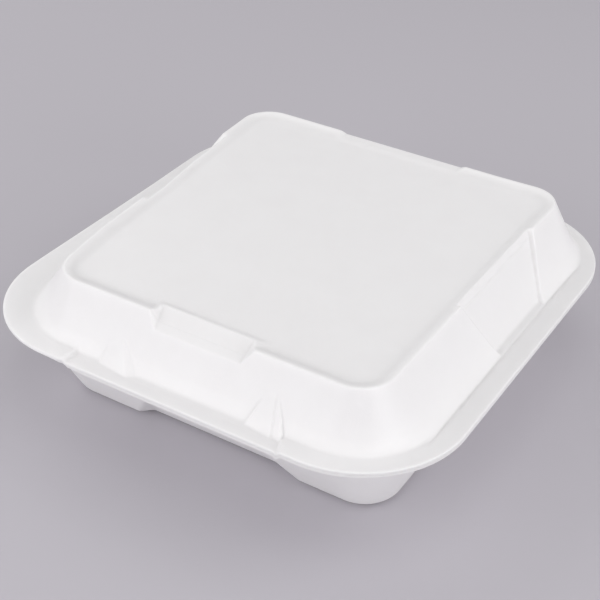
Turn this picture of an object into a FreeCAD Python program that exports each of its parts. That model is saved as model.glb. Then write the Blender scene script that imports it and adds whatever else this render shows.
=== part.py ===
import FreeCAD, Part
import os
import re
import Sketcher
from FreeCAD import Placement, Rotation, Vector

# Closed foam clamshell container in millimetres. X runs along the front edge, Y towards
# the hinge and Z up. The origin is the middle of the floor face.

SIZES = {
    # whole container
    "overall_width": 235.0,
    "overall_depth": 235.0,
    "overall_height": 76.0,
    "rim_corner": 51.0,
    # foam sheet: flat panels, leaning walls measured level, and the pressed flange
    "sheet": 2.2,
    "wall_run": 2.6,
    "flange_sheet": 1.6,
    "seam_height": 48.4,
    # lid walls: the flange left outside their foot, and their lean up to the crest
    "lid_rim_side": 9.9,
    "lid_rim_front": 8.8,
    "lid_foot_corner": 42.0,
    "lid_lean_side": 18.0,
    "lid_lean_front": 13.9,
    "crest_corner": 15.0,
    "crest_bevel_drop": 1.1,
    "crest_bevel_inset": 1.3,
    # top panel, sunk inside the rim
    "crest_band": 2.8,
    "panel_slope": 3.0,
    "panel_drop": 2.2,
    # notch across the front rim, set back from the flange's edge, with a low ridge behind it
    "notch_centre": 5.2,
    "notch_width": 45.0,
    "notch_flare": 9.2,
    "notch_tall": 10.0,
    "notch_foot_inset": 18.9,
    "notch_foot_drop": 7.3,
    "notch_run": 11.5,
    "notch_rise": 6.5,
    "ridge_inset": 33.1,
    "ridge_side": 6.0,
    # shallow notch across the back rim
    "back_notch_width": 70.0,
    "back_notch_drop": 1.5,
    # gussets at the foot of the front wall: toe in front of the wall's foot, tip behind it
    "gusset_centre": 6.8,
    "gusset_spacing": 77.0,
    "gusset_width": 19.0,
    "gusset_tip_width": 3.0,
    "gusset_height": 14.5,
    "gusset_toe": 1.9,
    "gusset_tip_back": 6.8,
    # lowered stretch of the front flange
    "tongue_centre": 1.0,
    "tongue_length": 113.0,
    "tongue_drop": 1.8,
    "tongue_slope": 3.0,
    "tongue_root": 0.5,
    "tongue_gap": 0.3,
    # steeper bay set into each side wall of the lid, most at the wall's foot
    "bay_foot_front": 9.0,
    "bay_foot_back": 39.0,
    "bay_top_front": 19.5,
    "bay_top_back": 57.0,
    "bay_foot_set": 4.0,
    "bay_top_set": 1.4,
    # base tray: the flange left outside its walls, and their lean down to the floor
    "tray_rim_side": 11.5,
    "tray_rim_front": 10.5,
    "tray_top_corner": 41.0,
    "tray_lean_side": 18.9,
    "tray_lean_front": 25.7,
    "tray_floor_corner": 17.0,
    "tray_floor_round": 6.0,
    # recess between the two front feet
    "recess_centre": 2.4,
    "recess_length": 86.0,
    "recess_side": 6.0,
    "recess_depth": 5.0,
    "recess_height": 40.0,
    "recess_lean": 24.0,
    "recess_fade": 0.5,
}

FLANGE_TOP = "(seam_height + flange_sheet)"
FLANGE_UNDER = "(seam_height - flange_sheet)"
LID_RISE = "(overall_height - seam_height)"
FOOT_WIDTH = "(overall_width - 2 * lid_rim_side)"
FOOT_DEPTH = "(overall_depth - 2 * lid_rim_front)"
CREST_WIDTH = "(%s - 2 * lid_lean_side)" % FOOT_WIDTH
CREST_DEPTH = "(%s - 2 * lid_lean_front)" % FOOT_DEPTH
TRAY_WIDTH = "(overall_width - 2 * tray_rim_side)"
TRAY_DEPTH = "(overall_depth - 2 * tray_rim_front)"
FLOOR_WIDTH = "(%s - 2 * tray_lean_side)" % TRAY_WIDTH
FLOOR_DEPTH = "(%s - 2 * tray_lean_front)" % TRAY_DEPTH
BEYOND = 10.0

doc = FreeCAD.newDocument("foam_clamshell")
table = doc.addObject("Spreadsheet::Sheet", "Sizes")
for row, (alias, value) in enumerate(SIZES.items(), start=1):
    table.set("A%d" % row, alias)
    table.set("B%d" % row, str(value))
    table.setAlias("B%d" % row, alias)
doc.recompute()


def tie(item, name, text):
    """Bind one property to a formula in which the words are sizes of the sheet."""
    words = re.split(r"([a-z_]+)", text)
    item.setExpression(name, "".join("Sizes." + word if word in SIZES else word for word in words))


def plane(body, role):
    """One of the body's own origin planes."""
    return next(item for item in body.Origin.OriginFeatures if item.Role == role)


def new_body(name):
    body = doc.addObject("PartDesign::Body", name)
    body.Label = name
    return body


def new_feature(body, kind, name):
    """Feature that keeps its faces as they are, because merging them spoils leaning walls."""
    item = body.newObject("PartDesign::" + kind, name)
    item.Refine = False
    return item


def level_sketch(body, name, height):
    """Empty sketch lying level at a height given as a formula."""
    sketch = body.newObject("Sketcher::SketchObject", name)
    sketch.AttachmentSupport = (plane(body, "XY_Plane"), [""])
    sketch.MapMode = "FlatFace"
    tie(sketch, "AttachmentOffset.Base.z", height)
    return sketch


def rounded_outline(body, name, width, depth, corner, height):
    """Rectangle with round corners, centred on the container."""
    sketch = level_sketch(body, name, height)
    half, radius = 100.0, 25.0
    flat = half - radius
    for turn in range(4):
        spin = Rotation(Vector(0, 0, 1), 90.0 * turn)
        start = spin.multVec(Vector(-flat, -half, 0))
        end = spin.multVec(Vector(flat, -half, 0))
        centre = spin.multVec(Vector(flat, -flat, 0))
        quarter = Part.Circle(centre, Vector(0, 0, 1), radius)
        angle = 1.5707963267948966 * (turn - 1)
        sketch.addGeometry(Part.LineSegment(start, end))
        sketch.addGeometry(Part.ArcOfCircle(quarter, angle, angle + 1.5707963267948966))
    for item in range(8):
        sketch.addConstraint(Sketcher.Constraint("Tangent", item, 2, (item + 1) % 8, 1))
    for other in (3, 5, 7):
        sketch.addConstraint(Sketcher.Constraint("Equal", 1, other))
    sketch.addConstraint(Sketcher.Constraint("Horizontal", 4))
    sketch.addConstraint(Sketcher.Constraint("Vertical", 6))
    sketch.addConstraint(Sketcher.Constraint("Symmetric", 0, 1, 0, 2, -2))
    sketch.addConstraint(Sketcher.Constraint("Symmetric", 2, 1, 2, 2, -1))
    measures = (
        ("width", Sketcher.Constraint("DistanceX", 6, 1, 2, 1, 2 * half), width),
        ("depth", Sketcher.Constraint("DistanceY", 0, 1, 4, 1, 2 * half), depth),
        ("corner", Sketcher.Constraint("Radius", 1, radius), corner),
    )
    for label, constraint, text in measures:
        sketch.renameConstraint(sketch.addConstraint(constraint), label)
        tie(sketch, "Constraints." + label, text)
    return sketch


def splayed_outline(body, name, height, centre, lengths, reaches):
    """Four-sided outline in front of the middle; its lengths and reaches are front, then back."""
    front_length, back_length = lengths
    front_reach, back_reach = reaches
    sketch = level_sketch(body, name, height)
    corners = [Vector(-50, -90, 0), Vector(50, -90, 0), Vector(40, -80, 0), Vector(-40, -80, 0)]
    for start, end in zip(corners, corners[1:] + corners[:1]):
        sketch.addGeometry(Part.LineSegment(start, end))
    for item in range(4):
        sketch.addConstraint(Sketcher.Constraint("Coincident", item, 2, (item + 1) % 4, 1))
    sketch.addConstraint(Sketcher.Constraint("Horizontal", 0))
    sketch.addConstraint(Sketcher.Constraint("Horizontal", 2))
    front_right = "%s + (%s) / 2" % (centre, front_length)
    back_right = "%s + (%s) / 2" % (centre, back_length)
    measures = (
        ("front_right", Sketcher.Constraint("DistanceX", -1, 1, 1, 1, 50), front_right),
        ("back_right", Sketcher.Constraint("DistanceX", -1, 1, 2, 1, 40), back_right),
        ("front_length", Sketcher.Constraint("DistanceX", 0, 1, 1, 1, 100), front_length),
        ("back_length", Sketcher.Constraint("DistanceX", 3, 1, 2, 1, 80), back_length),
        ("front_reach", Sketcher.Constraint("DistanceY", 0, 1, -1, 1, 90), front_reach),
        ("back_reach", Sketcher.Constraint("DistanceY", 2, 1, -1, 1, 80), back_reach),
    )
    for label, constraint, text in measures:
        sketch.renameConstraint(sketch.addConstraint(constraint), label)
        tie(sketch, "Constraints." + label, text)
    return sketch


def loft(body, name, kind, foot, head):
    """Straight-sided loft; its solid faces outward only if it is drawn from the head down."""
    item = new_feature(body, kind + "Loft", name)
    item.Profile = (head, [""])
    item.Sections = [(foot, [""])]
    item.Ruled = True
    doc.recompute()
    return item


def wedge(body, name, kind, low, high, foot, top):
    """Block tapering from foot to top; each is left, right, back reach and front reach."""
    item = new_feature(body, kind + "Wedge", name)
    item.AttachmentSupport = (plane(body, "XZ_Plane"), [""])
    item.MapMode = "FlatFace"
    tie(item, "Ymin", low)
    tie(item, "Ymax", high)
    for label, text in zip(("Xmin", "Xmax", "Zmin", "Zmax"), foot):
        tie(item, label, text)
    for label, text in zip(("X2min", "X2max", "Z2min", "Z2max"), top):
        tie(item, label, text)
    return item


def pad(body, name, sketch, length):
    item = new_feature(body, "Pad", name)
    item.Profile = sketch
    tie(item, "Length", length)
    doc.recompute()
    return item


def level_edges(shape, height):
    """Names of the edges lying level at a height."""
    names = []
    for number, edge in enumerate(shape.Edges, start=1):
        first, last = edge.ParameterRange
        points = [edge.valueAt(first + (last - first) * share) for share in (0.0, 0.3, 0.5, 1.0)]
        if all(abs(point.z - height) < 0.01 for point in points):
            names.append("Edge%d" % number)
    return names


def soften(body, kind, name, height, size):
    """Round or bevel all edges lying level at a height."""
    base = body.Tip
    item = new_feature(body, kind, name)
    item.Base = (base, level_edges(base.Shape, height))
    tie(item, "Radius" if kind == "Fillet" else "Size", size)
    doc.recompute()
    return item


def between(top, foot, share):
    """Formula for a size part of the way from a foot size to a top size."""
    return "%s + (%s - %s) * (%s)" % (foot, top, foot, share)


def lid_outline(body, name, fall, inward):
    """Outline of the lid's walls a fall below the crest, moved level inward."""
    share = "(%s) / %s" % (fall, LID_RISE)
    width = between(FOOT_WIDTH, CREST_WIDTH, share) + " - 2 * (%s)" % inward
    depth = between(FOOT_DEPTH, CREST_DEPTH, share) + " - 2 * (%s)" % inward
    corner = between("lid_foot_corner", "crest_corner", share) + " - (%s)" % inward
    return rounded_outline(body, name, width, depth, corner, "overall_height - (%s)" % fall)


def tray_outline(body, name, rise, inward):
    """Outline of the tray's walls a rise above the floor, moved level inward."""
    share = "(%s) / %s" % (rise, FLANGE_UNDER)
    width = between(TRAY_WIDTH, FLOOR_WIDTH, share) + " - 2 * (%s)" % inward
    depth = between(TRAY_DEPTH, FLOOR_DEPTH, share) + " - 2 * (%s)" % inward
    corner = between("tray_top_corner", "tray_floor_corner", share) + " - (%s)" % inward
    return rounded_outline(body, name, width, depth, corner, rise)


def front_notch(body, name, skin):
    """Slanting cut across the front rim, grown by a skin where it shapes the hollow."""
    foot = "(notch_width / 2 + %s / 2)" % skin
    head = "(notch_width / 2 + notch_flare + 1.4 * %s)" % skin
    reach = ("-4 * notch_tall", "notch_tall")
    item = wedge(body, name, "Subtractive", "-%s" % skin, "notch_tall",
                 ("notch_centre - " + foot, "notch_centre + " + foot) + reach,
                 ("notch_centre - " + head, "notch_centre + " + head) + reach)
    item.AttachmentOffset = Placement(Vector(0, 0, 0), Rotation(Vector(1, 0, 0), 30.0))
    tie(item, "AttachmentOffset.Base.y", "overall_height - notch_foot_drop")
    tie(item, "AttachmentOffset.Base.z", "overall_depth / 2 - notch_foot_inset")
    tie(item, "AttachmentOffset.Rotation.Angle", "atan(notch_rise / notch_run)")


def side_bays(body, name, foot_height, skin):
    """Steeper panels let into both side walls, grown by a skin where they shape the hollow."""
    wide = "(overall_width / 2 + %s)" % BEYOND
    for side, sign in (("left", -1), ("right", 1)):
        foot = "%d * (%s / 2 - bay_foot_set - %s)" % (sign, FOOT_WIDTH, skin)
        top = "%d * (%s / 2 - bay_top_set - %s)" % (sign, CREST_WIDTH, skin)
        edges = [(foot, wide), (top, wide)]
        if sign < 0:
            edges = [("-%s" % wide, foot), ("-%s" % wide, top)]
        wedge(
            body, "%s_%s" % (name, side), "Subtractive", foot_height, "overall_height",
            edges[0] + ("-bay_foot_back - %s" % skin, "bay_foot_front + %s" % skin),
            edges[1] + ("-bay_top_back - %s" % skin, "bay_top_front + %s" % skin))


def tongue(body, name, kind, foot, tall, inner, gap="0"):
    """Layer of the lowered front flange: from its foot up, with slanting ends."""
    ends = "(tongue_length / 2 + %s)" % gap
    spread = "(%s * tongue_slope / tongue_drop)" % tall
    outer = "(overall_depth / 2)" if kind == "Additive" else "(overall_depth / 2 + %s)" % BEYOND
    reach = (inner, outer)
    wide = "%s + %s" % (ends, spread)
    low = ("tongue_centre - " + ends, "tongue_centre + " + ends) + reach
    high = ("tongue_centre - (%s)" % wide, "tongue_centre + " + wide) + reach
    wedge(body, name, kind, foot, "%s + %s" % (foot, tall), low, high)


def front_recess(body, name, skin):
    """Set-back between the front feet that fades out towards the top of the wall."""
    sections = []
    wall = "(%s) / 2" % between(TRAY_DEPTH, FLOOR_DEPTH, "recess_height / %s" % FLANGE_UNDER)
    stations = (
        ("foot", "-%s" % skin, "recess_length", "%s / 2" % FLOOR_DEPTH, "recess_depth"),
        ("head", "recess_height", "(recess_length - 2 * recess_lean)", wall, "recess_fade"),
    )
    for label, height, length, face, depth in stations:
        grown = "%s + 2 * %s" % (length, skin)
        sections.append(splayed_outline(
            body, "%s_%s" % (name, label), height, "recess_centre",
            (grown + " + 2 * recess_side", grown + " - 2 * recess_side"),
            ("%s + recess_depth" % face, "%s - %s - %s" % (face, depth, skin))))
    loft(body, name, "Subtractive", *sections)


def hollow_lid():
    """Space under the lid, which is cut out of its outer form."""
    body = new_body("lid_hollow")
    ceiling = "(panel_drop + sheet)"
    low = lid_outline(body, "lid_hollow_seam", LID_RISE, "wall_run")
    high = lid_outline(body, "lid_hollow_ceiling", ceiling, "wall_run")
    loft(body, "lid_hollow_loft", "Additive", low, high)
    front_notch(body, "notch_inside", "sheet")
    side_bays(body, "bay_inside", "seam_height", "wall_run")
    doc.recompute()
    return body


def hollow_tray():
    """Space inside the tray, which is cut out of its outer form."""
    body = new_body("base_hollow")
    low = tray_outline(body, "tray_hollow_floor", "sheet", "wall_run")
    high = tray_outline(body, "tray_hollow_seam", "seam_height", "wall_run")
    loft(body, "tray_hollow_loft", "Additive", low, high)
    soften(body, "Chamfer", "tray_hollow_bevel", SIZES["sheet"], "(tray_floor_round - sheet) / 2")
    front_recess(body, "recess_inside", "wall_run")
    return body


def take_out(body, name, hollow):
    item = new_feature(body, "Boolean", name)
    item.Type = "Cut"
    item.addObjects([hollow])
    doc.recompute()
    return item


def panel_recess(body):
    """Sunk top panel with a sloping edge inside the rim."""
    floor_inset = "(crest_band + panel_slope)"
    outlines = []
    for name, inset, height in (("panel_floor", floor_inset, "overall_height - panel_drop"),
                                ("panel_edge", "crest_band", "overall_height")):
        outlines.append(rounded_outline(
            body, name, "%s - 2 * %s" % (CREST_WIDTH, inset), "%s - 2 * %s" % (CREST_DEPTH, inset),
            "crest_corner - %s" % inset, height))
    loft(body, "panel_recess", "Subtractive", *outlines)


def ridge(body):
    """Low ridge behind the front notch, rising from the panel to the notch's upper end."""
    half = "(notch_width / 2 + ridge_side)"
    span = ("notch_centre - " + half, "notch_centre + " + half)
    foot = "(overall_depth / 2 - ridge_inset)"
    crest = "(overall_depth / 2 - notch_foot_inset - notch_run)"
    front = "%s / 2 - crest_band" % CREST_DEPTH
    wedge(body, "notch_ridge", "Additive", "overall_height - panel_drop - sheet / 2",
          "overall_height - notch_foot_drop + notch_rise", span + (foot, front), span + (crest, front))


def back_notch(body):
    """Shallow notch across the back rim."""
    reach = ("-overall_depth / 2", "-%s / 2 + crest_band" % CREST_DEPTH)
    foot = "back_notch_width / 2"
    head = "(back_notch_width / 2 + %s)" % BEYOND
    wedge(body, "back_notch", "Subtractive", "overall_height - back_notch_drop",
          "overall_height + %s" % BEYOND, ("-" + foot, foot) + reach, ("-" + head, head) + reach)


def gussets(body, foot_height):
    """Tapering gussets that prop the front wall on the lowered flange."""
    tip = "(%s / 2 - gusset_tip_back)" % FOOT_DEPTH
    toe = "(%s / 2 + gusset_toe)" % FOOT_DEPTH
    back = "%s - wall_run / 2" % tip
    for side, sign in (("left", -1), ("right", 1)):
        centre = "gusset_centre + %d * gusset_spacing / 2" % sign
        wedge(body, "gusset_%s" % side, "Additive", "%s - flange_sheet / 2" % foot_height,
              "%s + gusset_height" % foot_height,
              (centre + " - gusset_width / 2", centre + " + gusset_width / 2", back, toe),
              (centre + " - gusset_tip_width / 2", centre + " + gusset_tip_width / 2", back, tip))


def make_lid():
    body = new_body("lid")
    loft(body, "lid_walls", "Additive",
         lid_outline(body, "lid_wall_foot", LID_RISE, "0"),
         lid_outline(body, "lid_wall_top", "crest_bevel_drop", "0"))
    loft(body, "crest_bevel", "Additive",
         lid_outline(body, "crest_bevel_foot", "crest_bevel_drop", "0"),
         lid_outline(body, "crest_bevel_top", "0", "crest_bevel_inset"))
    rim = rounded_outline(body, "lid_rim_outline", "overall_width", "overall_depth", "rim_corner",
                          "seam_height")
    pad(body, "lid_rim", rim, "flange_sheet")
    panel_recess(body)
    ridge(body)
    front_notch(body, "notch", "0")
    back_notch(body)
    side_bays(body, "bay", FLANGE_TOP, "0")
    tongue_top = "(%s - tongue_drop)" % FLANGE_TOP
    tongue(body, "tongue_step", "Subtractive", tongue_top, "(2 * tongue_drop)",
           "(%s / 2 + tongue_root)" % FOOT_DEPTH)
    tongue(body, "tongue", "Additive", "(%s - flange_sheet)" % tongue_top, "tongue_drop",
           "(%s / 2 - wall_run)" % FOOT_DEPTH)
    gussets(body, tongue_top)
    doc.recompute()
    take_out(body, "lid_inside", hollow_lid())
    return body


def make_base():
    body = new_body("base")
    loft(body, "tray_walls", "Additive",
         tray_outline(body, "tray_wall_floor", "0", "0"),
         tray_outline(body, "tray_wall_top", FLANGE_UNDER, "0"))
    soften(body, "Fillet", "floor_edge", 0.0, "tray_floor_round")
    front_recess(body, "recess", "0")
    rim = rounded_outline(body, "tray_rim_outline", "overall_width", "overall_depth", "rim_corner",
                          FLANGE_UNDER)
    pad(body, "tray_rim", rim, "flange_sheet")
    layer = "(%s - tongue_drop)" % FLANGE_UNDER
    tongue(body, "tray_tongue", "Additive", layer, "tongue_drop", "(%s / 2 - wall_run)" % TRAY_DEPTH)
    doc.recompute()
    take_out(body, "tray_inside", hollow_tray())
    tongue(body, "tray_step", "Subtractive", "(seam_height - tongue_drop)", "(2 * tongue_drop)",
           "(%s / 2 - %s)" % (TRAY_DEPTH, BEYOND), "tongue_gap")
    doc.recompute()
    return body


parts = [make_base(), make_lid()]
doc.recompute()

faults = []
for item in doc.Objects:
    if "Invalid" in item.State or "Error" in item.State:
        faults.append("%s is %s" % (item.Label, item.State))
for item in parts:
    if item.Shape.isNull() or not item.Shape.isValid() or len(item.Shape.Solids) != 1:
        faults.append("%s has no single valid solid" % item.Label)
if faults:
    raise RuntimeError("; ".join(faults))

os.makedirs("parts", exist_ok=True)
for item in parts:
    item.Shape.exportStep("parts/%s.step" % item.Label)
    print(item.Label, len(item.Shape.Faces), "faces", round(item.Shape.Volume), "mm3")
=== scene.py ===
import math

import bpy
import numpy as np
from mathutils import Matrix, Vector
from mathutils.geometry import delaunay_2d_cdt


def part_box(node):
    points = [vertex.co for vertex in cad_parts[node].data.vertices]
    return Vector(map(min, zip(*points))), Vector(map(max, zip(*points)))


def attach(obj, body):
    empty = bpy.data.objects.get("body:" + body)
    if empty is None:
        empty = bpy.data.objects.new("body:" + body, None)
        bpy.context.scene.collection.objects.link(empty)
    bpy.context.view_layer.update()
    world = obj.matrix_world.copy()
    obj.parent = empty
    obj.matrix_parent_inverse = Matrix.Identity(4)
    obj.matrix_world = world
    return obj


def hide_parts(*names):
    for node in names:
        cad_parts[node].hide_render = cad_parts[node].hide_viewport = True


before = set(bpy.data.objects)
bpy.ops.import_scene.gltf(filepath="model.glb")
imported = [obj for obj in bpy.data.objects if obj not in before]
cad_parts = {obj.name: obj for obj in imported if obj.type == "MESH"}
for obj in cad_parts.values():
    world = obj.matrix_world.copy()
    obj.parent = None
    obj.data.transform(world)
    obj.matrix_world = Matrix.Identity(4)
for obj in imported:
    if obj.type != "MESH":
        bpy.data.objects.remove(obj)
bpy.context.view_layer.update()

# Lengths in this script are millimetres until a mesh is made, unless a name ends in _m.
MM = 0.001
lid_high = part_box("lid")[1]
HALF = lid_high.x / MM
TOP = lid_high.z / MM
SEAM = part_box("base")[1].z / MM
FLANGE = 1.6
FLANGE_TOP = SEAM + FLANGE
FLANGE_UNDER = SEAM - FLANGE
# Foam measured upright through the panels, and level through the walls
SKIN = 2.2
WALL = 2.6
RIM_CORNER = 51.0
# Stretch of each side on which mesh columns stay square to the side
SQUARE = 60.0


def smooth_min(a, b, width):
    """Lower of two heights, with a round of about that width where they cross."""
    share = np.clip(0.5 + 0.5 * (b - a) / width, 0.0, 1.0)
    return b + (a - b) * share - width * share * (1.0 - share)


def smooth_max(a, b, width):
    return -smooth_min(-a, -b, width)


def ramp(value, start, end):
    """0 before start and 1 after end, with soft ends."""
    share = np.clip((value - start) / (end - start), 0.0, 1.0)
    return share * share * (3.0 - 2.0 * share)


def bell(value, centre, width):
    return np.exp(-((value - centre) / width) ** 2)


def plane_height(x, y, a, b, c):
    """Height at x, y of the plane through three points."""
    a, b, c = (np.array(p, float) for p in (a, b, c))
    n = np.cross(b - a, c - a)
    return a[2] - (n[0] * (x - a[0]) + n[1] * (y - a[1])) / n[2]


# Mesh columns round the container, anticlockwise from the left end of the front side

def spread(stops):
    """Places along a side: rows of start, end and spacing."""
    places = [stops[0][0]]
    for start, end, spacing in stops:
        count = max(1, int(math.ceil((end - start) / spacing)))
        places += list(np.linspace(start, end, count + 1)[1:])
    return places


END = HALF - RIM_CORNER
SIDES = (
    spread([(-END, -60, 1.6), (-60, -16, 0.55), (-16, 24, 2.0), (24, 60, 0.55), (60, END, 1.6)]),
    spread([(-END, -22, 3.0), (-22, -6, 0.6), (-6, 36, 3.0), (36, 60, 0.6), (60, END, 1.6)]),
    spread([(-END, -42, 3.0), (-42, -30, 0.8), (-30, 30, 4.0), (30, 42, 0.8), (42, END, 3.0)]),
    spread([(-END, -60, 1.6), (-60, -36, 0.6), (-36, 6, 3.0), (6, 22, 0.6), (22, END, 3.0)]),
)
CORNER_STEPS = 44


class Columns:
    """Side, place along it and corner angle of each mesh column."""

    def __init__(self):
        side, along, turn = [], [], []
        for number, places in enumerate(SIDES):
            for place in places:
                side.append(number)
                along.append(place)
                turn.append(-1.0)
            for step in range(1, CORNER_STEPS):
                side.append(number)
                along.append(0.0)
                turn.append(math.radians(90.0 * (number - 1) + 90.0 * step / CORNER_STEPS))
        self.side = np.array(side)
        self.along = np.array(along)
        self.turn = np.array(turn)
        self.corner = np.array([t != -1.0 for t in turn])
        self.count = len(side)

    def ring(self, half_x, half_y, corner):
        """Points x, y of one ring: a rectangle with round corners."""
        side, a = self.side, self.along
        straight = np.where(side % 2 == 0, half_x - corner, half_y - corner)
        over = np.clip((np.abs(a) - SQUARE) / (END - SQUARE), 0.0, 1.0)
        place = np.sign(a) * (np.minimum(np.abs(a), SQUARE) + over * (straight - SQUARE))
        x = np.choose(side, [place, half_x + 0 * a, -place, -half_x + 0 * a])
        y = np.choose(side, [-half_y + 0 * a, place, half_y + 0 * a, -place])
        centre_x = np.choose(side, [1, 1, -1, -1]) * (half_x - corner)
        centre_y = np.choose(side, [-1, 1, 1, -1]) * (half_y - corner)
        x = np.where(self.corner, centre_x + corner * np.cos(self.turn), x)
        y = np.where(self.corner, centre_y + corner * np.sin(self.turn), y)
        return x, y


COLUMNS = Columns()
COVER_SPACING = 9.0


def profile(knots):
    """Rings along a profile. Each knot is half width, half depth, corner, height, the reach of
    the round at the knot and the spacing of the rings after it."""
    knots = [np.array(k, float) for k in knots]
    rows = []

    def length(a, b):
        return math.hypot((abs(a[0] - b[0]) + abs(a[1] - b[1])) / 2, a[3] - b[3])

    for number, knot in enumerate(knots):
        reach, spacing = knot[4], knot[5]
        here = knot[:4]
        before = knots[number - 1][:4] if number else None
        after = knots[number + 1][:4] if number + 1 < len(knots) else None
        if before is None or after is None or reach <= 0:
            start = end = here
            rows.append(here)
        else:
            start = here + (before - here) * reach / length(before, here)
            end = here + (after - here) * reach / length(after, here)
            count = max(3, int(math.ceil(2 * reach / 0.7)))
            for share in np.linspace(0, 1, count + 1):
                rows.append((1 - share) ** 2 * start + 2 * share * (1 - share) * here + share ** 2 * end)
        if after is not None:
            next_reach = knots[number + 1][4] if number + 2 < len(knots) else 0.0
            goal = after + (here - after) * next_reach / max(length(after, here), 1e-6)
            count = max(1, int(round(length(end, goal) / spacing)))
            for share in np.linspace(0, 1, count + 1)[1:-1]:
                rows.append(end + (goal - end) * share)
    return np.array(rows)


def cover(x, y, spacing, height_at):
    """Triangles over the inside of one ring with points x, y, by a rule for their height. The
    points inside keep most of a spacing clear of the ring and of its round corners."""
    ring = [Vector((float(px), float(py))) for px, py in zip(x, y)]
    half_x, half_y = max(abs(x)), max(abs(y))
    inner = []
    for px in np.arange(-half_x + spacing, half_x - spacing / 2, spacing):
        for py in np.arange(-half_y + spacing, half_y - spacing / 2, spacing):
            rim = max(abs(px) / (half_x - spacing * 0.8), abs(py) / (half_y - spacing * 0.8))
            if rim < 1.0 and math.hypot(px / half_x, py / half_y) < 1.3:
                inner.append(Vector((float(px), float(py))))
    count = len(ring)
    edges = [(i, (i + 1) % count) for i in range(count)]
    verts, _, faces, origin, _, _ = delaunay_2d_cdt(ring + inner, edges, [], 1, 1e-5)
    points = np.array([(v.x, v.y, 0.0) for v in verts])
    points[:, 2] = height_at(points[:, 0], points[:, 1])
    source = [ids[0] if ids else -1 for ids in origin]
    return points, faces, source


def shell_object(name, rings, relief, bottom_height, top_height, set_back):
    """Closed shell from rings that run from the first cover, over the rim, to the last cover.
    The last rule moves all points level, by their place and the half width of their ring."""
    count = COLUMNS.count
    points = []
    for half_x, half_y, corner, height in rings:
        x, y = COLUMNS.ring(half_x, half_y, corner)
        points.append(np.stack([x, y, np.full(count, height)], 1))
    points = relief(np.array(points), rings)
    verts = [tuple(p) for p in points.reshape(-1, 3)]
    faces = []
    for row in range(len(rings) - 1):
        for col in range(count):
            nxt = (col + 1) % count
            a, b = row * count + col, row * count + nxt
            faces.append((a, b, b + count, a + count))
    for last, height_at in ((False, bottom_height), (True, top_height)):
        start = (len(rings) - 1) * count if last else 0
        ring = points[-1 if last else 0]
        inner, triangles, source = cover(ring[:, 0], ring[:, 1], COVER_SPACING, height_at)
        index = []
        for number, origin in enumerate(source):
            if 0 <= origin < count:
                index.append(start + origin)
            else:
                index.append(len(verts))
                verts.append(tuple(inner[number]))
        for triangle in triangles:
            ids = [index[i] for i in triangle]
            faces.append(tuple(ids) if last else tuple(reversed(ids)))
    verts = np.array(verts)
    reach = np.zeros(len(verts))
    reach[:len(rings) * count] = np.repeat([ring[0] for ring in rings], count)
    verts[:, :2] += set_back(verts[:, 0], verts[:, 1], verts[:, 2], reach)
    mesh = bpy.data.meshes.new(name)
    mesh.from_pydata([tuple(MM * float(c) for c in v) for v in verts], [], faces)
    mesh.validate()
    mesh.polygons.foreach_set("use_smooth", [True] * len(mesh.polygons))
    mesh.update()
    item = bpy.data.objects.new(name, mesh)
    bpy.context.scene.collection.objects.link(item)
    return item


# Lid: walls, crest and sunk panel, with the notches, bays and gussets as reliefs

FOOT = (106.9, 108.0, 38.0)
COVE = (103.46, 105.17, 34.4)
COVE_HEIGHT = 53.2
CREST = (89.8, 94.9, 16.0)
PANEL_HEIGHT = 73.8
PANEL = (75.0, 76.0, 6.0)
# Height that leaves a relief without effect
FAR = 999.0


def wall_at(height, inset=0.0):
    """Lid wall ring at a height."""
    share = (height - COVE_HEIGHT) / (TOP - COVE_HEIGHT)
    ring = [f + (c - f) * share for f, c in zip(COVE, CREST)]
    return [size - inset for size in ring]


def lid_rings():
    """From the inner ceiling down the inside, out round the flange, and up to the panel."""
    crest_in = [size - 1.1 for size in CREST]
    slope_foot = [size - 6.6 for size in CREST]
    inner_wall = wall_at(TOP - SKIN, inset=2.5)
    channel = [size - 3.0 for size in inner_wall]
    ceiling = [size - 3.6 for size in channel]
    mouth = wall_at(FLANGE_TOP, inset=WALL)
    knots = [
        (PANEL[0] - 3, PANEL[1] - 3, PANEL[2] - 2, PANEL_HEIGHT - SKIN, 0, 3.0),
        (*ceiling, PANEL_HEIGHT - SKIN, 1.2, 1.6),
        (*channel, TOP - SKIN, 1.0, 1.2),
        (*inner_wall, TOP - SKIN, 1.2, 1.8),
        (*mouth, SEAM, 1.2, 1.8),
        (HALF, HALF, RIM_CORNER, SEAM, 0.25, 0.8),
        (HALF, HALF, RIM_CORNER, FLANGE_TOP, 0.7, 0.55),
        (*FOOT, FLANGE_TOP, 1.0, 0.6),
        (*COVE, COVE_HEIGHT, 3.2, 0.75),
        (*CREST, TOP, 0.6, 0.5),
        (*crest_in, TOP, 0.5, 0.6),
        (*slope_foot, PANEL_HEIGHT, 2.4, 0.9),
        (*PANEL, PANEL_HEIGHT, 0, 3.0),
    ]
    return profile(knots)


def notch_cut(x, y):
    """Height of the front notch: its floor and the facet at each end."""
    floor = 68.7 + (y + 98.6) * 0.565
    left = plane_height(x, y, (-17.2, -98.6, 68.7), (-19.6, -87.6, 75.0), (-21.2, -95.6, 75.5))
    right = plane_height(x, y, (27.2, -98.6, 68.7), (28.0, -88.0, 75.0), (32.8, -95.6, 75.5))
    return smooth_max(smooth_max(floor, left, 0.5), right, 0.5)


def ridge_block(x, y):
    """Low ridge that closes the notch towards the panel."""
    back = 75.25 - 0.42 * (y + 87.5)
    left = 75.4 + 0.5 * (x + 20.5)
    right = 75.4 - 0.3 * (x - 28.5)
    block = smooth_min(smooth_min(back, left, 0.6), right, 0.6)
    return smooth_min(block, 75.5 + 0 * x, 0.4)


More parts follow.
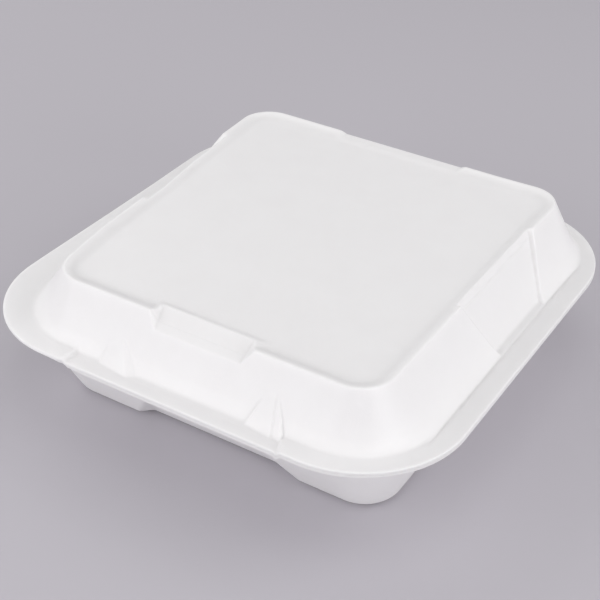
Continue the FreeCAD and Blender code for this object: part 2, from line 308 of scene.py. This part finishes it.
def bay_cut(x, y, grown):
    """Height of the steeper bay in a side wall, and of the facets at its two ends."""
    face = FLANGE_TOP + (103.6 - grown - np.abs(x)) * 26.0 / 16.8
    front = FLANGE_TOP + (-9.0 - grown - y) * 26.0 / 10.5
    back = FLANGE_TOP + (y - 39.0 - grown) * 26.0 / 18.0
    walls = smooth_max(face, np.maximum(front, back), 0.4)
    return smooth_max(walls, FLANGE_TOP + 0 * x, 0.8)


def gussets(x, y):
    """Two tapering props at the foot of the front wall."""
    foot = 48.2
    face = plane_height(x, y, (-41.2, -108.9, foot), (-25.3, -110.9, foot), (-33.0, -101.8, 60.6))
    left = foot + (x + 41.6) * 2.9
    right = plane_height(x, y, (-25.3, -110.9, foot), (-31.2, -101.6, 61.2), (-18.5, -107.0, foot))
    one = smooth_min(smooth_min(face, left, 0.5), right, 0.8)
    face = plane_height(x, y, (36.3, -109.2, foot), (50.0, -110.6, foot), (44.5, -101.0, 62.6))
    left = foot + (x - 35.9) * 2.4
    right = foot - (x - 50.3) * 4.6
    two = smooth_min(smooth_min(face, left, 0.5), right, 0.4)
    face = plane_height(x, y, (49.5, -109.6, foot), (54.8, -110.6, foot), (48.0, -101.2, 62.0))
    right = foot - (x - 55.4) * 2.2
    three = smooth_min(face, right, 0.6)
    return np.minimum(np.maximum(one, smooth_max(two, three, 0.2)), 64.0)


def tongue_drop(x, y):
    """Fall of the front flange along the lowered stretch, with slanting ends."""
    lean = 0.5 * np.clip(-y - 111.0, 0.0, 8.0)
    ends = ramp(x, -56.6, -53.4) * (1.0 - ramp(x - lean, 53.6, 56.6))
    across = 0.75 * ramp(-y, 103.5, 108.2) + 0.25 * ramp(-y, 107.5, 111.6)
    return 1.8 * ends * across


def lid_relief(points, rings):
    """Rings of the lid with its reliefs. Points inside are shaped as if they lay on the outside,
    and moved back by the skin."""
    x, y, z = points[..., 0], points[..., 1], points[..., 2]
    edge = next(i for i, r in enumerate(rings) if r[0] > HALF - 0.01)
    outside = (np.arange(len(rings)) > edge)[:, None] & (x == x)
    lowered = z - tongue_drop(x, y) * (1.0 - ramp(z, FLANGE_TOP, 54.0))
    groove = 0.55 * bell(x, 107.3, 0.8) * ramp(y, -84.0, -74.0) * (1.0 - ramp(y, 70.0, 80.0))
    lowered = lowered - np.where(outside & (z < 51.5), groove, 0.0)
    low = np.where(outside, lowered, lowered + SKIN)
    front = y < -80.0
    side = np.abs(x) > 84.0
    shaped = low
    block = np.where(front & (y > -93.6) & (np.abs(x) < 45), ridge_block(x, y), -FAR)
    shaped = smooth_max(shaped, block, 0.35)
    cut = np.where(front & (np.abs(x) < 50), notch_cut(x, y), FAR)
    shaped = smooth_min(shaped, cut, 0.45)
    back = 74.3 + 0.6 * np.clip(np.maximum(-35.0 - x, x - 33.0), 0, None)
    shaped = np.where(y > 80.0, smooth_min(shaped, back, 0.5), shaped)
    bay = np.where(outside, bay_cut(x, y, 0.0), bay_cut(x, y, WALL) + SKIN)
    bay = np.where(side & (np.abs(y) < 66) & (z > SEAM + 0.3), bay, FAR)
    shaped = smooth_min(shaped, bay, 0.7)
    wall = front & (np.abs(x) < 60) & (z > SEAM + 0.2)
    prop = gussets(x, y) - np.where(outside, 0.0, 2.0)
    shaped = np.where(wall, smooth_max(shaped, prop, 0.35), shaped)
    z_new = np.where(outside, shaped, shaped - SKIN)
    z_new = np.where(outside | (z > SEAM + 0.2), z_new, lowered)
    out = points.copy()
    out[..., 2] = z_new
    return out


def panel_height(x, y):
    return PANEL_HEIGHT + 0 * x


def flange_set_back(x, y):
    """Slight bow of both flanges on the left side, and the narrower lowered stretch in front."""
    left = np.interp(y, (-60.0, -10.0, 30.0), (0.0, 0.8, 1.2)) * ramp(-x, 60.0, 100.0)
    ends = ramp(x, -58.0, -54.0) * (1.0 - ramp(x, 54.0, 58.0))
    front = ends * ramp(-y, 108.0, 116.0)
    return left, front


def lid_set_back(x, y, z, reach):
    """The lid stands further in at its front left corner, and further out at its back right."""
    left, front = flange_set_back(x, y)
    inside = np.clip((HALF - reach) / (HALF - FOOT[0]), 0.0, 1.0)
    rise = np.clip((z - FLANGE_TOP) / (TOP - FLANGE_TOP), 0.0, 1.0)
    lean = np.interp(y, (-84.0, -55.0, -29.0, -4.0, 24.0, 55.0, 83.0),
                     (11.2, 7.8, 6.6, 5.6, 2.5, 1.0, 0.0))
    left = left + (lean * (0.62 + 0.38 * rise) - left) * ramp(-x, 46.0, 80.0) * inside
    corner = ramp(x, 50.0, 90.0) * ramp(y, 50.0, 90.0) * inside
    back = corner * (2.6 - 1.6 * rise)
    return np.stack([left + 0.4 * back, front + back], 1)


def tray_set_back(x, y, z, reach):
    """Flange of the tray, which ends further in than the lid's at the front left corner."""
    left, front = flange_set_back(x, y)
    rim = ramp(reach, HALF - 4.0, HALF)
    corner = 1.2 * ramp(-x, 40.0, 70.0) * ramp(-y, 40.0, 90.0)
    return np.stack([left + corner * rim, front + corner * rim], 1)


lid = shell_object("lid_foam", lid_rings(), lid_relief,
                   lambda x, y: panel_height(x, y) - SKIN, panel_height, lid_set_back)
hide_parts("lid")
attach(lid, "lid")


# Base tray

TRAY_TOP = (106.0, 107.0, 41.0)
TRAY_FLOOR = (87.1, 81.3, 17.0)


def tray_at(height, inset=0.0):
    """Tray wall ring at a height."""
    share = height / FLANGE_UNDER
    return [f + (t - f) * share - inset for f, t in zip(TRAY_FLOOR, TRAY_TOP)]


def tray_rings():
    """From under the floor up the outside, in over the flange, and down to the inner floor."""
    floor = [size - 14 for size in TRAY_FLOOR]
    inner_floor = tray_at(SKIN, WALL)
    knots = [
        (floor[0], floor[1], 4.0, 0.0, 0, 3.0),
        (*TRAY_FLOOR, 0.0, 4.0, 1.5),
        (*TRAY_TOP, FLANGE_UNDER, 1.5, 1.5),
        (HALF, HALF, RIM_CORNER, FLANGE_UNDER, 0.7, 0.8),
        (HALF, HALF, RIM_CORNER, SEAM, 0.25, 0.9),
        (*tray_at(SEAM, WALL), SEAM, 1.2, 2.2),
        (*inner_floor, SKIN, 4.0, 3.0),
        (floor[0] - 3, floor[1] - 3, 3.0, SKIN, 0, 3.0),
    ]
    return profile(knots)


def recess_depth(x, z):
    """Set-back of the front wall between its two feet, fading out up the wall."""
    share = np.clip(z / 40.0, 0.0, 1.0)
    depth = 5.0 + (0.3 - 5.0) * share
    half = 43.0 - 24.0 * share
    reach = (half - np.abs(x - 2.4)) * 5.0 / 6.0 + depth / 2
    return smooth_max(smooth_min(reach, depth, 1.0), 0 * x, 0.8) * (1.0 - ramp(z, 34.0, 40.0))


def tray_relief(points, rings):
    """Rings of the tray with the set-back between its front feet and the lowered flange."""
    x, y, z = points[..., 0], points[..., 1], points[..., 2]
    row = np.arange(len(rings))[:, None] + 0 * x
    out = points.copy()
    hold = ramp(-y, 55.0, 74.0)
    out[..., 1] = y + recess_depth(x, z) * hold
    flange = (z > FLANGE_UNDER - 1.2) & (row > 0)
    drop = tongue_drop(x, y) * ramp(z, FLANGE_UNDER - 2.5, FLANGE_UNDER - 0.4)
    out[..., 2] = z - np.where(flange | (z > 43), drop, 0.0)
    return out


tray = shell_object("base_foam", tray_rings(), tray_relief,
                    lambda x, y: 0.0 * x, lambda x, y: SKIN + 0.0 * x, tray_set_back)
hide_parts("base")
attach(tray, "base")


# Foam and floor materials

def new_material(name):
    material = bpy.data.materials.new(name)
    material.use_nodes = True
    nodes, links = material.node_tree.nodes, material.node_tree.links
    shader = nodes.get("Principled BSDF")
    return material, nodes, links, shader


def noise(nodes, links, coordinates, scale, detail, roughness):
    item = nodes.new("ShaderNodeTexNoise")
    item.inputs["Scale"].default_value = scale
    item.inputs["Detail"].default_value = detail
    item.inputs["Roughness"].default_value = roughness
    links.new(coordinates, item.inputs["Vector"])
    return item


def foam_material():
    """White foam: faint change of tone, fine closed cells and a slightly uneven skin."""
    material, nodes, links, shader = new_material("white_foam")
    place = nodes.new("ShaderNodeTexCoord").outputs["Object"]
    shader.inputs["Roughness"].default_value = 0.42
    shader.inputs["IOR"].default_value = 1.45
    shader.inputs["Subsurface Weight"].default_value = 0.4
    shader.inputs["Subsurface Radius"].default_value = (1.0, 1.0, 1.0)
    shader.inputs["Subsurface Scale"].default_value = 0.004
    tone = noise(nodes, links, place, 55.0, 3.0, 0.6)
    mix = nodes.new("ShaderNodeMix")
    mix.data_type = "RGBA"
    mix.inputs["A"].default_value = (0.88, 0.865, 0.87, 1.0)
    mix.inputs["B"].default_value = (0.91, 0.90, 0.905, 1.0)
    links.new(tone.outputs["Fac"], mix.inputs["Factor"])
    links.new(mix.outputs["Result"], shader.inputs["Base Color"])
    cells = nodes.new("ShaderNodeTexVoronoi")
    cells.feature = "SMOOTH_F1"
    cells.inputs["Scale"].default_value = 1100.0
    links.new(place, cells.inputs["Vector"])
    fine = nodes.new("ShaderNodeBump")
    fine.inputs["Strength"].default_value = 0.25
    fine.inputs["Distance"].default_value = 0.00012
    links.new(cells.outputs["Distance"], fine.inputs["Height"])
    wave = noise(nodes, links, place, 90.0, 2.0, 0.5)
    broad = nodes.new("ShaderNodeBump")
    broad.inputs["Strength"].default_value = 0.12
    broad.inputs["Distance"].default_value = 0.0006
    links.new(wave.outputs["Fac"], broad.inputs["Height"])
    links.new(fine.outputs["Normal"], broad.inputs["Normal"])
    links.new(broad.outputs["Normal"], shader.inputs["Normal"])
    return material


def floor_material():
    material, _, _, shader = new_material("pale_floor")
    shader.inputs["Base Color"].default_value = (0.52, 0.50, 0.54, 1.0)
    shader.inputs["Roughness"].default_value = 0.9
    return material


foam = foam_material()
lid.data.materials.append(foam)
tray.data.materials.append(foam)


# Floor, light and camera

floor_mesh = bpy.data.meshes.new("floor")
floor_mesh.from_pydata([(-6, -6, 0), (6, -6, 0), (6, 6, 0), (-6, 6, 0)], [], [(0, 1, 2, 3)])
floor = bpy.data.objects.new("floor", floor_mesh)
floor_mesh.materials.append(floor_material())
bpy.context.scene.collection.objects.link(floor)


LIGHT_DISTANCE_M = 1.4
LIGHT_SIZE_M = (0.8, 0.7)
LIGHT_TARGET_M = Vector((0.0, 0.0, 0.04))


def softbox(name, azimuth, elevation, power):
    """Soft light aimed at the container: azimuth 0 is in front, 90 to the right."""
    turn, rise = math.radians(azimuth), math.radians(elevation)
    flat = LIGHT_DISTANCE_M * math.cos(rise)
    place = Vector((flat * math.sin(turn), -flat * math.cos(turn), LIGHT_DISTANCE_M * math.sin(rise)))
    light = bpy.data.lights.new(name, "AREA")
    light.shape = "RECTANGLE"
    light.size, light.size_y = LIGHT_SIZE_M
    light.energy = power
    item = bpy.data.objects.new(name, light)
    item.location = place
    item.rotation_euler = (LIGHT_TARGET_M - place).to_track_quat("-Z", "Y").to_euler()
    bpy.context.scene.collection.objects.link(item)


softbox("front_left", -15.0, 35.0, 1.6)
softbox("left", -50.0, 24.0, 3.0)
softbox("back_left", -115.0, 35.0, 2.6)
softbox("front_low", -18.0, 9.0, 4.4)
softbox("right_low", 72.0, 15.0, 5.6)
softbox("back_right", 120.0, 42.0, 3.8)
softbox("overhead", 60.0, 80.0, 2.2)

world = bpy.data.worlds.new("studio")
world.use_nodes = True
world.node_tree.nodes["Background"].inputs["Color"].default_value = (1.0, 0.99, 1.0, 1.0)
world.node_tree.nodes["Background"].inputs["Strength"].default_value = 0.45
bpy.context.scene.world = world
bpy.context.scene.view_settings.view_transform = "Standard"


def photo_camera():
    """Camera at the photograph's angle: focal length in pixels of a 600-pixel frame."""
    focal, distance = 1313.6, 0.63841
    yaw, pitch, roll = (math.radians(a) for a in (31.583, 34.577, 0.799))
    target = Vector((-0.000321, -0.006337, 0.038))
    back = Vector((math.sin(yaw) * math.cos(pitch), -math.cos(yaw) * math.cos(pitch), math.sin(pitch)))
    right = Vector((math.cos(yaw), math.sin(yaw), 0.0))
    up = back.cross(right)
    level_right = math.cos(roll) * right + math.sin(roll) * up
    level_up = -math.sin(roll) * right + math.cos(roll) * up
    data = bpy.data.cameras.new("camera")
    data.sensor_width = 36.0
    data.lens = focal * 36.0 / 600.0
    item = bpy.data.objects.new("camera", data)
    turn = Matrix((level_right, level_up, back)).transposed().to_4x4()
    item.matrix_world = Matrix.Translation(target + distance * back) @ turn
    bpy.context.scene.collection.objects.link(item)
    bpy.context.scene.camera = item


photo_camera()
